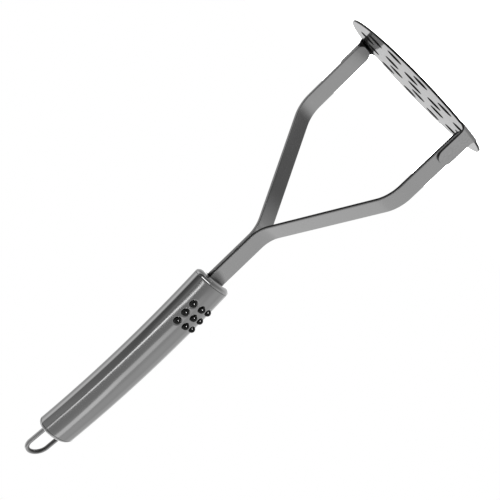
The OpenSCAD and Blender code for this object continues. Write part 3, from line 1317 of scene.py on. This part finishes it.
class Masher:
    """The masher: its plate, arms, handle, nubs and loop, each in its place."""

    def __init__(self) -> None:
        """Makes the finishes, and the sizes that several pieces share."""
        self.handle_steel = steel_material(HANDLE_STEEL)
        self.plate_steel = steel_material(PLATE_STEEL)
        self.cap_steel = steel_material(CAP_STEEL)
        self.edge_painted_shade_steel = steel_material(EDGE_PAINTED_SHADE_STEEL)
        self.left_strap = steel_material(LEFT_STRAP_STEEL)
        self.right_strap = steel_material(RIGHT_STRAP_STEEL)
        self.wire_steel = steel_material(WIRE_STEEL)
        self.rubber = soft_material(NUB_RUBBER)
        self.filler = soft_material(FILLER)
        self.axis = HandleAxis()
        self.oval = Oval()
        self.nubs = NubLayout()

    def build(self) -> None:
        """Builds every piece and finishes the CAD nodes that stay."""
        self._plate()
        self._arms()
        self._handle()
        self._kept_nodes()

    def _plate(self) -> None:
        """Builds the plate with its ears, at the size of its CAD node."""
        high = box_mm("masher_plate")[1]
        PiercedPlate(radius=high[1], ear_outer=high[0], ear_top=high[2]).build(
            self.plate_steel, self.edge_painted_shade_steel
        )

    def _arms(self) -> None:
        """Builds both arms, which share their sizes."""
        low, high = box_mm("arm_right")
        # Only the left arm has the painted dark reflection on its sloping run.
        arms = ((1, "arm_right", self.right_strap, 0.0), (-1, "arm_left", self.left_strap, 0.95))
        for side, node, steel, painted_reflection_dim in arms:
            StrapArm(
                side, width=high[1] - low[1], foot=low[2], outer=high[0], top=high[2], painted_reflection_dim=painted_reflection_dim
            ).build(node, steel)

    def _handle(self) -> None:
        """Builds the shell, both caps, the loop and the nubs."""
        HandleShell(self.axis, self.oval, self.nubs).build(self.handle_steel)
        EndCap(self.axis, self.oval, front=True).build("front_cap", self.cap_steel)
        EndCap(self.axis, self.oval, front=False).build("rear_cap", self.cap_steel)
        HangingLoop(self.axis).build(self.wire_steel)
        for number in range(1, 10):
            GripNub(self.axis, self.oval, self.nubs).build(number, self.rubber)

    def _kept_nodes(self) -> None:
        """Gives the two hidden blocks their finish."""
        for node in ("tang_block", "loop_anchor"):
            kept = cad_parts[node]
            kept.data.materials.clear()
            kept.data.materials.append(self.filler)


# ---------------------------------------------------------------- studio


@dataclass(frozen=True)
class Strip:
    """Upright strip of light on the studio's wall.

    Attributes:
        stops: Elevation, azimuth and glow at points along the strip, from the lowest up.
        half: Half its width, in degrees.
        soft: Width of its soft border, in degrees.
    """

    stops: tuple[tuple[float, float, float], ...]
    half: float
    soft: float


@dataclass(frozen=True)
class SoftBox:
    """Small oval soft box aimed at the middle nub.

    Attributes:
        name: Name of the light.
        lights: Start of the names of the pieces that it lights.
        toward: Azimuth and elevation of the box from the nub, in degrees.
        size: Its two sizes, in metres.
        roll: Its turn about its own axis, in degrees.
        power: Its power, in watts.
    """

    name: str
    lights: str
    toward: tuple[float, float]
    size: tuple[float, float]
    roll: float
    power: float


@dataclass
class Studio:
    """Pale floor, soft walls seen only in reflections, a top light, small lamps and the camera.

    Azimuths are in degrees from +X towards +Y, elevations in degrees above the horizon, and a glow
    of 1 is white. Around and tilts are angles with the glow there, and the wall's glow is the
    product of the two, except on the strips. A ramp holds values up to 1, so glows are divided by
    tilt_top or strip_top on the way in and multiplied on the way out.
    """

    camera_at: tuple[float, float, float] = (324.07, 329.78, 45.07)
    aim_at: tuple[float, float, float] = (1.22, -1.19, 111.27)
    roll: float = -133.903
    lens: float = 68.88
    shift: tuple[float, float] = (-0.001, 0.001)
    dome_r: float = 4.0
    floor_r: float = 0.9
    level: float = 0.82
    top_power: float = 260.0
    top_size: float = 3.0
    top_height: float = 2.2
    box_distance: float = 0.6
    floor_grey: float = 0.9
    floor_mottle: float = 0.01
    sensor: float = 36.0
    tilt_top: float = 2.0
    strip_top: float = 4.0
    boxes: tuple[SoftBox, ...] = (
        SoftBox("nub_glint", "grip_nub", (29.0, -30.0), size=(0.16, 0.34), roll=-134.0, power=9.0),
        SoftBox("cap_glint", "front_cap", (40.0, -14.0), size=(0.80, 0.12), roll=0.0, power=0.45),
    )
    around: tuple[tuple[float, float], ...] = (
        (-180, 0.45), (-150, 0.68), (-135, 0.72), (-126, 0.80), (-115, 0.72),
        (-105, 0.55), (-94, 0.50), (-80, 0.50), (-66, 0.40), (-54, 0.43), (-40, 0.43), (-24, 0.35),
        (-8, 0.28), (2, 0.25), (12, 0.23), (24, 0.24), (48, 0.20),
        (57, 0.22), (63, 0.20), (68, 0.15), (77, 0.12), (88, 0.095), (97, 0.08), (106, 0.065),
        (113, 0.15), (119, 0.50), (125, 0.66), (133, 0.74),
        (145, 0.64), (158, 0.46), (180, 0.45),
    )
    tilts: tuple[tuple[float, float], ...] = (
        (-90, 0.35), (-45, 0.55), (-30, 0.75), (-24, 0.90), (-12, 1.05),
        (30, 1.05), (60, 1.25), (90, 1.3),
    )
    strips: tuple[Strip, ...] = (
        Strip(((-36, -132, 0.40), (-12, -132, 0.55), (-7, -132, 0.72), (60, -132, 0.74)), 26, 10),
        Strip(((-4, -135, 1.5), (9, -135, 1.5), (12, -135, 0.8), (60, -135, 0.8)), 12, 6),
        Strip(((18, 80, 0.095), (24, 80, 0.15), (31, 80, 0.23), (60, 80, 0.27)), 26, 10),
        Strip(((12, -128, 0.78), (20, -128, 1.1), (30, -128, 1.4), (60, -128, 1.2)), 10, 8),
        Strip(
            (
                (9, -14, 0.34), (12, -14, 0.44), (17, -10, 0.56), (22, -11, 0.56),
                (24, -10, 0.62), (27, -15, 0.70), (30, -18, 0.70), (34, -21, 0.66), (60, -21, 0.5),
            ),
            6,
            6,
        ),
        Strip(
            (
                (1, 33, 0.25), (4, 33, 1.4), (5.5, 33, 1.5), (7, 28, 1.5), (9, 25, 1.5),
                (11, 29, 1.5), (14, 32, 1.5), (22, 34, 1.3), (31, 34, 1.0), (50, 34, 0.3),
            ),
            1.8,
            1.5,
        ),
    )

    @staticmethod
    def _ramp(
        nodes: NodeTree,
        degrees: bpy.types.NodeSocket,
        span: tuple[float, float],
        stops: Sequence[tuple[float, tuple[float, float]]],
    ) -> bpy.types.NodeSocket:
        """Adds a ramp over an angle that gives two values, in its red and green.

        Args:
            nodes: Node tree to add it to.
            degrees: The angle's socket.
            span: Lowest and highest angle.
            stops: Each stop's angle and its two values.

        Returns:
            The ramp's colour socket.
        """
        low, high = span
        share = nodes.math("DIVIDE", nodes.math("SUBTRACT", degrees, low), high - low)
        ramp = nodes.add("ShaderNodeValToRGB")
        nodes.link(share, ramp.inputs["Fac"])
        elements = ramp.color_ramp.elements
        for angle, _ in stops[1:-1]:
            elements.new((angle - low) / (high - low))
        elements[0].position = (stops[0][0] - low) / (high - low)
        elements[len(elements) - 1].position = (stops[-1][0] - low) / (high - low)
        for element, (_, values) in zip(elements, stops):
            element.color = (*values, 0.0, 1.0)
        return ramp.outputs["Color"]

    def _wall_glow(self, nodes: NodeTree) -> bpy.types.NodeSocket:
        """Adds the nodes that give the walls' glow from the direction of each point.

        Args:
            nodes: Node tree to add them to.

        Returns:
            The glow's socket.
        """
        place = nodes.add("ShaderNodeTexCoord").outputs["Object"]
        unit = nodes.add("ShaderNodeVectorMath", operation="NORMALIZE")
        nodes.link(place, unit.inputs[0])
        axes = nodes.add("ShaderNodeSeparateXYZ")
        nodes.link(unit.outputs[0], axes.inputs[0])
        turn = nodes.math("ARCTAN2", axes.outputs["Y"], axes.outputs["X"])
        azimuth = nodes.math("DEGREES", turn)
        height = nodes.math("DEGREES", nodes.math("ARCSINE", axes.outputs["Z"]))
        around = [(a, (g, g)) for a, g in self.around]
        tilts = [(e, (g / self.tilt_top,) * 2) for e, g in self.tilts]
        glow = nodes.math(
            "MULTIPLY",
            self._ramp(nodes, azimuth, (-180, 180), around),
            self._ramp(nodes, height, (-90, 90), tilts),
        )
        glow = nodes.math("MULTIPLY", glow, self.tilt_top * self.level)
        for strip in self.strips:
            packed = [(e, ((a + 180) / 360, g / self.strip_top)) for e, a, g in strip.stops]
            split = nodes.add("ShaderNodeSeparateColor")
            nodes.link(self._ramp(nodes, height, (-90, 90), packed), split.inputs[0])
            centre = nodes.math("MULTIPLY_ADD", split.outputs["Red"], 360.0, -180.0)
            off = nodes.math("ABSOLUTE", nodes.math("SUBTRACT", azimuth, centre))
            within = nodes.ease(off, strip.half + strip.soft, strip.half)
            bright = nodes.math("MULTIPLY", split.outputs["Green"], self.strip_top * self.level)
            low = strip.stops[0][0]
            within = nodes.math("MULTIPLY", within, nodes.ease(height, low - 2, low))
            glow = nodes.mix(within, glow, bright)
        return glow

    def _walls(self) -> None:
        """Makes the dome whose glow depends on the direction from its middle."""
        nodes = NodeTree("studio_walls")
        emission = nodes.add("ShaderNodeEmission")
        nodes.link(self._wall_glow(nodes), emission.inputs["Strength"])
        material = nodes.finish(emission)
        material.cycles.emission_sampling = "NONE"
        turn = np.linspace(0, 2 * math.pi, 97)[:-1]
        lift = np.radians(np.linspace(-89.5, 89.5, 49))[:, None]
        dome = self.dome_r * np.stack(
            [np.cos(lift) * np.cos(turn), np.cos(lift) * np.sin(turn), np.sin(lift) + 0 * turn], -1
        )
        faces = tube_faces(*dome.shape[:2])
        points = dome.reshape(-1, 3) / MM
        walls = make_piece("studio_walls", points, faces, points)
        walls.data.materials.append(material)
        walls.visible_camera = False
        walls.visible_diffuse = False
        walls.visible_shadow = False
        walls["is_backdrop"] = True

    def _floor(self) -> None:
        """Makes the pale floor, which reflections don't show."""
        nodes = NodeTree("studio_floor")
        place = nodes.add("ShaderNodeTexCoord").outputs["Object"]
        mottle = nodes.noise(place, 4.0, 2.0)
        swing = nodes.math("SUBTRACT", mottle, 0.5)
        grey = nodes.math("MULTIPLY_ADD", swing, self.floor_mottle, self.floor_grey)
        shader = nodes.add("ShaderNodeBsdfDiffuse")
        nodes.link(grey, shader.inputs["Color"])
        turn = np.linspace(0, 2 * math.pi, 97)[:-1]
        ring = self.floor_r / MM * np.stack([np.cos(turn), np.sin(turn), 0 * turn], -1)
        floor = make_piece("studio_floor", ring, [range(len(ring))], ring, outward=False)
        floor.data.materials.append(nodes.finish(shader))
        floor.visible_glossy = False
        floor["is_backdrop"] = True

    def _top_light(self) -> None:
        """Adds the soft light over the object, which reflections don't show."""
        data = bpy.data.lights.new("top_light", "AREA")
        data.shape, data.size = "DISK", self.top_size
        data.energy = self.top_power
        light = bpy.data.objects.new("top_light", data)
        light.location = (0.0, 0.0, self.top_height)
        light.visible_camera = False
        light.visible_glossy = False
        bpy.context.scene.collection.objects.link(light)

    def _lamp(self, box: SoftBox) -> None:
        """Adds a small soft box that lights only some of the pieces.

        Args:
            box: The soft box.
        """
        data = bpy.data.lights.new(box.name, "AREA")
        data.shape, data.size, data.size_y = "ELLIPSE", *box.size
        data.energy = box.power
        low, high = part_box("grip_nub_5")
        azimuth, height = (math.radians(a) for a in box.toward)
        way = Vector(
            (
                math.cos(height) * math.cos(azimuth),
                math.cos(height) * math.sin(azimuth),
                math.sin(height),
            )
        )
        lamp = bpy.data.objects.new(box.name, data)
        lamp.location = (low + high) / 2 + way * self.box_distance
        lamp.rotation_mode = "QUATERNION"
        roll = Quaternion((0.0, 0.0, 1.0), math.radians(box.roll))
        lamp.rotation_quaternion = way.to_track_quat("Z", "Y") @ roll
        lamp.visible_camera = False
        bpy.context.scene.collection.objects.link(lamp)
        lit = bpy.data.collections.new(f"{box.name}_lit")
        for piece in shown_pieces():
            if piece.name.startswith(box.lights) and piece.name.endswith("skin"):
                lit.objects.link(piece)
        lamp.light_linking.receiver_collection = lit

    def _camera(self) -> None:
        """Adds the camera, which looks from its place to its aim and is rolled about that line."""
        data = bpy.data.cameras.new("camera")
        data.lens, data.sensor_width = self.lens, self.sensor
        data.shift_x, data.shift_y = self.shift
        data.clip_start, data.clip_end = 0.01, 50.0
        camera = bpy.data.objects.new("camera", data)
        place, aim = Vector(self.camera_at) * MM, Vector(self.aim_at) * MM
        back = (place - aim).normalized()
        level = Vector((0, 0, 1)).cross(back).normalized()
        above = back.cross(level)
        roll = math.radians(self.roll)
        right = level * math.cos(roll) + above * math.sin(roll)
        up = above * math.cos(roll) - level * math.sin(roll)
        turn = Matrix((right, up, back)).transposed().to_4x4()
        camera.matrix_world = Matrix.Translation(place) @ turn
        bpy.context.scene.collection.objects.link(camera)
        bpy.context.scene.camera = camera

    def build(self) -> None:
        """Builds the studio."""
        scene = bpy.context.scene
        scene.view_settings.view_transform = "Standard"
        world = bpy.data.worlds.new("studio_world")
        world.use_nodes = True
        background = world.node_tree.nodes["Background"]
        background.inputs["Color"].default_value = (1.0, 1.0, 1.0, 1.0)
        background.inputs["Strength"].default_value = 1.0
        scene.world = world
        self._walls()
        self._floor()
        self._top_light()
        for box in self.boxes:
            self._lamp(box)
        self._camera()


def main() -> None:
    """Builds the masher and its studio."""
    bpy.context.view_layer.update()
    Masher().build()
    Studio().build()
    bpy.context.view_layer.update()


if __name__ == "__main__":
    main()
